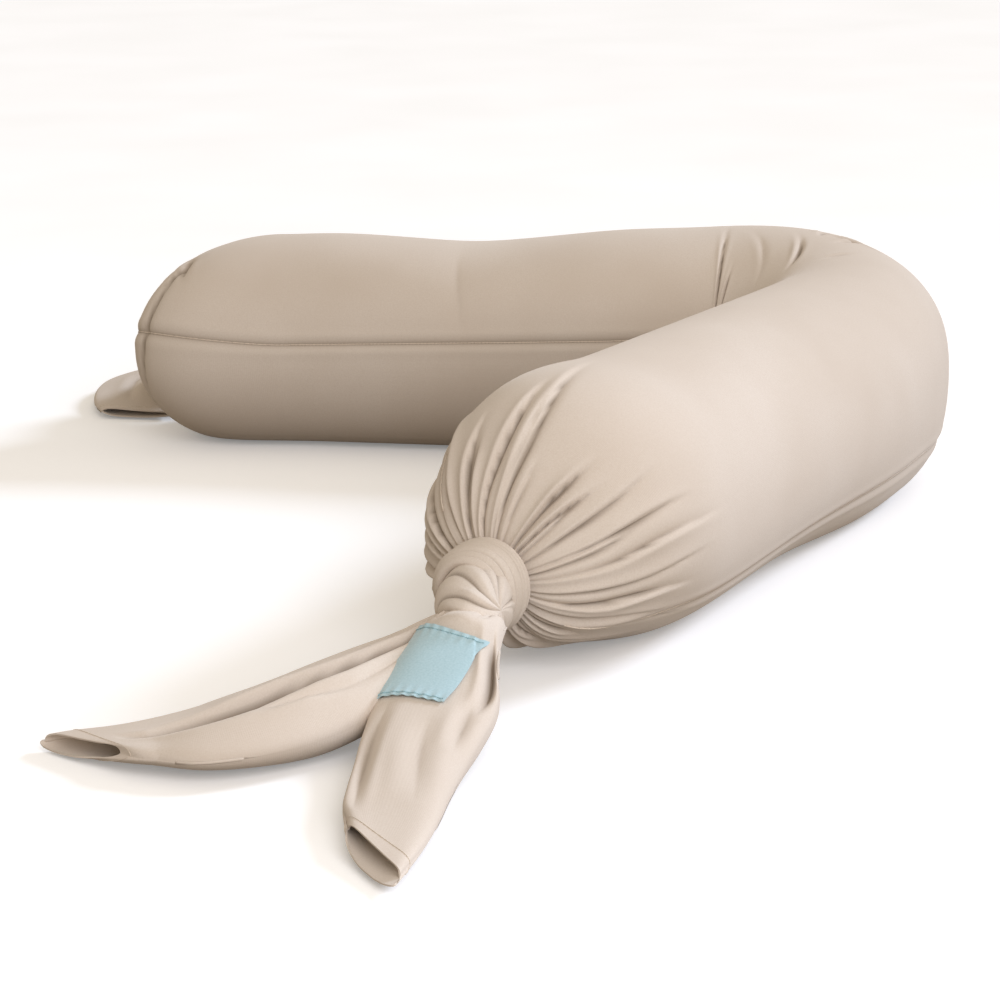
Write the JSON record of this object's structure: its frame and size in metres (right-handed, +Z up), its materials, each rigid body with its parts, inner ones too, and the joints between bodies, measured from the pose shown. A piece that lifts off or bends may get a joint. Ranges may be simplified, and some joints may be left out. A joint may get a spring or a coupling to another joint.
{
  "type": "bolster pillow",
  "caption": "Long bead-filled bolster pillow in a jersey cover knotted at both ends, bent at an elbow, with tie tails and a small sewn label.",
  "frame": {"origin": "under the middle of the whole pillow, on the surface that it lies on", "axes": "+Z up; the near arm's knot is towards -Y, the elbow towards +X, and the far arm runs towards -X behind it"},
  "size_m": [0.7966, 1.205, 0.1926],
  "materials": {
    "jersey_cover": "matte fine cotton jersey, warm sand",
    "inner_casing": "plain woven cotton, off-white",
    "bead_fill": "expanded polystyrene beads, white",
    "cover_thread": "polyester sewing thread, sand",
    "label_cloth": "satin-woven label tape, pale aqua, plain",
    "label_thread": "sewing thread, aqua"
  },
  "bodies": {
    "near_arm": {"near_arm_bead_fill": "bead_fill", "near_arm_casing": "inner_casing", "near_arm_cover_lower": "jersey_cover", "near_arm_cover_upper": "jersey_cover", "near_arm_seam_inner": "cover_thread", "near_arm_seam_outer": "cover_thread", "near_knot_collar": "jersey_cover", "near_knot_roll": "jersey_cover"},
    "elbow_1": {"elbow_1_bead_fill": "bead_fill", "elbow_1_casing": "inner_casing", "elbow_1_cover_lower": "jersey_cover", "elbow_1_cover_upper": "jersey_cover", "elbow_1_seam_inner": "cover_thread", "elbow_1_seam_outer": "cover_thread"},
    "elbow_2": {"elbow_2_bead_fill": "bead_fill", "elbow_2_casing": "inner_casing", "elbow_2_cover_lower": "jersey_cover", "elbow_2_cover_upper": "jersey_cover", "elbow_2_seam_inner": "cover_thread", "elbow_2_seam_outer": "cover_thread"},
    "elbow_3": {"elbow_3_bead_fill": "bead_fill", "elbow_3_casing": "inner_casing", "elbow_3_cover_lower": "jersey_cover", "elbow_3_cover_upper": "jersey_cover", "elbow_3_seam_inner": "cover_thread", "elbow_3_seam_outer": "cover_thread"},
    "far_arm": {"far_arm_bead_fill": "bead_fill", "far_arm_casing": "inner_casing", "far_arm_cover_lower": "jersey_cover", "far_arm_cover_upper": "jersey_cover", "far_arm_seam_inner": "cover_thread", "far_arm_seam_outer": "cover_thread", "far_knot_collar": "jersey_cover", "far_knot_roll": "jersey_cover"},
    "near_tail_left": {"near_tail_left": "jersey_cover", "near_tail_left_hem": "cover_thread"},
    "near_tail_front": {"label": "label_cloth", "label_stitching": "label_thread", "near_tail_front": "jersey_cover", "near_tail_front_hem": "cover_thread"},
    "far_tail_left": {"far_tail_left": "jersey_cover", "far_tail_left_hem": "cover_thread"},
    "far_tail_back": {"far_tail_back": "jersey_cover", "far_tail_back_hem": "cover_thread"}
  },
  "joints": [
    {"name": "elbow_bend_1", "type": "hinge", "parent": "near_arm", "child": "elbow_1", "pos_m": [0.28897, 0.1572, 0.09103], "axis": [0, 0, 1], "range_deg": [-27.5, 6], "deforming": ["elbow_1_bead_fill", "elbow_1_casing", "elbow_1_cover_lower", "elbow_1_cover_upper", "elbow_1_seam_inner", "elbow_1_seam_outer"]},
    {"name": "elbow_bend_2", "type": "hinge", "parent": "elbow_1", "child": "elbow_2", "pos_m": [0.30348, 0.22744, 0.09062], "axis": [0, 0, 1], "range_deg": [-27.5, 6], "deforming": ["elbow_2_bead_fill", "elbow_2_casing", "elbow_2_cover_lower", "elbow_2_cover_upper", "elbow_2_seam_inner", "elbow_2_seam_outer"]},
    {"name": "elbow_bend_3", "type": "hinge", "parent": "elbow_2", "child": "elbow_3", "pos_m": [0.27317, 0.29243, 0.09021], "axis": [0, 0, 1], "range_deg": [-27.5, 6], "deforming": ["elbow_3_bead_fill", "elbow_3_casing", "elbow_3_cover_lower", "elbow_3_cover_upper", "elbow_3_seam_inner", "elbow_3_seam_outer"]},
    {"name": "elbow_bend_4", "type": "hinge", "parent": "elbow_3", "child": "far_arm", "pos_m": [0.21004, 0.32647, 0.0898], "axis": [0, 0, 1], "range_deg": [-27.5, 6]},
    {"name": "near_tail_left_lift", "type": "hinge", "parent": "near_arm", "child": "near_tail_left", "pos_m": [0.00069, -0.34412, 0.061], "axis": [-0.866, 0.5, 0], "range_deg": [0, 80]},
    {"name": "near_tail_front_lift", "type": "hinge", "parent": "near_arm", "child": "near_tail_front", "pos_m": [0.00069, -0.34412, 0.061], "axis": [-0.6691, 0.7431, 0], "range_deg": [0, 80]},
    {"name": "far_tail_left_lift", "type": "hinge", "parent": "far_arm", "child": "far_tail_left", "pos_m": [-0.2897, 0.4966, 0.057], "axis": [0, 1, 0], "range_deg": [0, 60]},
    {"name": "far_tail_back_lift", "type": "hinge", "parent": "far_arm", "child": "far_tail_back", "pos_m": [-0.2897, 0.4966, 0.057], "axis": [0.7071, -0.7071, 0], "range_deg": [0, 60]}
  ],
  "couplings": [
    {"joint": "elbow_bend_2", "follows": "elbow_bend_1", "ratio": 1},
    {"joint": "elbow_bend_3", "follows": "elbow_bend_1", "ratio": 1},
    {"joint": "elbow_bend_4", "follows": "elbow_bend_1", "ratio": 1}
  ]
}
